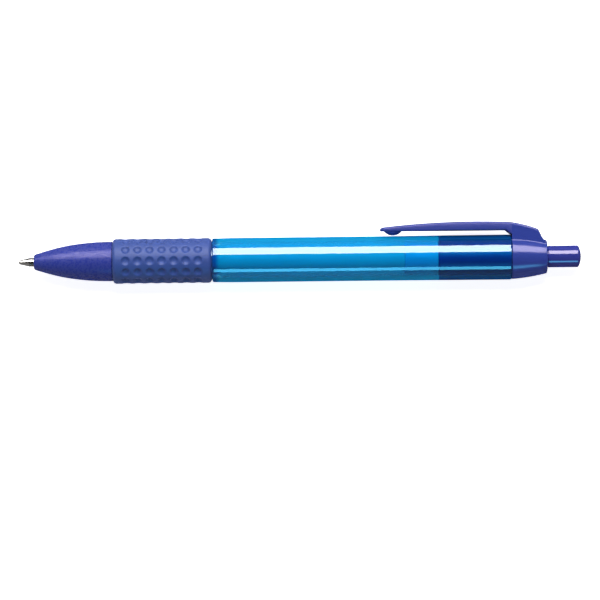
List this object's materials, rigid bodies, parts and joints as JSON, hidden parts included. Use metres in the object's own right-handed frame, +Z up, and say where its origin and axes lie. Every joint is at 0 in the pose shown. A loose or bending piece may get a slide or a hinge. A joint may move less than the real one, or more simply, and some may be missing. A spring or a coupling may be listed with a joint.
{
  "type": "retractable gel pen",
  "caption": "Click pen with a see-through tinted barrel, dimpled rubber grip, textured nose cone, side clip and a thumb button that moves the refill",
  "frame": {"origin": "the writing point, on the pen's axis, with the tip out", "axes": "+X along the pen from the writing point to the push button, +Y out through the pocket clip, +Z up with the pen lying on its side"},
  "size_m": [0.1419, 0.0148, 0.0114],
  "materials": {
    "barrel_plastic": "clear blue tinted moulding, polished",
    "grip_rubber": "soft matt rubber, violet blue",
    "nose_plastic": "spark-textured moulding, violet blue",
    "cap_plastic": "satin moulding, violet blue",
    "clip_plastic": "satin moulding, violet blue",
    "guide_plastic": "moulded, dark violet blue",
    "natural_plastic": "natural milky plastic",
    "button_plastic": "polished moulding, violet blue",
    "tip_metal": "turned nickel silver",
    "ball_metal": "ground carbide",
    "spring_steel": "drawn spring wire",
    "refill_plastic": "natural translucent tube",
    "gel_ink": "blue gel ink",
    "clear_grease": "clear grease"
  },
  "bodies": {
    "body": {"barrel": "barrel_plastic", "grip_sleeve": "grip_rubber", "clip_cap": "cap_plastic", "cam_guide": "guide_plastic", "rotor_collar": "natural_plastic"},
    "nose": {"nose_cone": "nose_plastic"},
    "clip": {"clip": "clip_plastic"},
    "button": {"push_button": "button_plastic"},
    "refill": {"refill_tube": "refill_plastic", "refill_tail_plug": "natural_plastic", "tip_holder": "natural_plastic", "metal_tip": "tip_metal", "point_spring": "spring_steel", "ink_column": "gel_ink", "grease_follower": "clear_grease", "return_spring": "spring_steel"},
    "rotor": {"cam_rotor": "natural_plastic"},
    "ball": {"writing_ball": "ball_metal"}
  },
  "joints": [
    {"name": "button_click", "type": "slide", "parent": "body", "child": "button", "axis": [1, 0, 0], "range_m": [-0.0015, 0.0052]},
    {"name": "refill_slide", "type": "slide", "parent": "body", "child": "refill", "axis": [1, 0, 0], "range_m": [-0.0015, 0.0052], "deforming": ["return_spring"]},
    {"name": "rotor_turn", "type": "hinge", "parent": "refill", "child": "rotor", "pos_m": [0.108, 0, 0], "axis": [1, 0, 0], "continuous": true},
    {"name": "ball_roll", "type": "hinge", "parent": "refill", "child": "ball", "pos_m": [0.00035, 0, 0], "axis": [0, 1, 0], "continuous": true},
    {"name": "clip_flex", "type": "hinge", "parent": "body", "child": "clip", "pos_m": [0.12435, 0.00884, 0], "axis": [0, 0, -1], "range_deg": [0, 4], "stiffness_Nm_per_rad": 2},
    {"name": "nose_unscrew", "type": "hinge", "parent": "body", "child": "nose", "pos_m": [0.0237, 0, 0], "axis": [-1, 0, 0], "range_deg": [0, 2160]}
  ],
  "couplings": [
    {"joint": "refill_slide", "follows": "button_click", "ratio": 1}
  ]
}
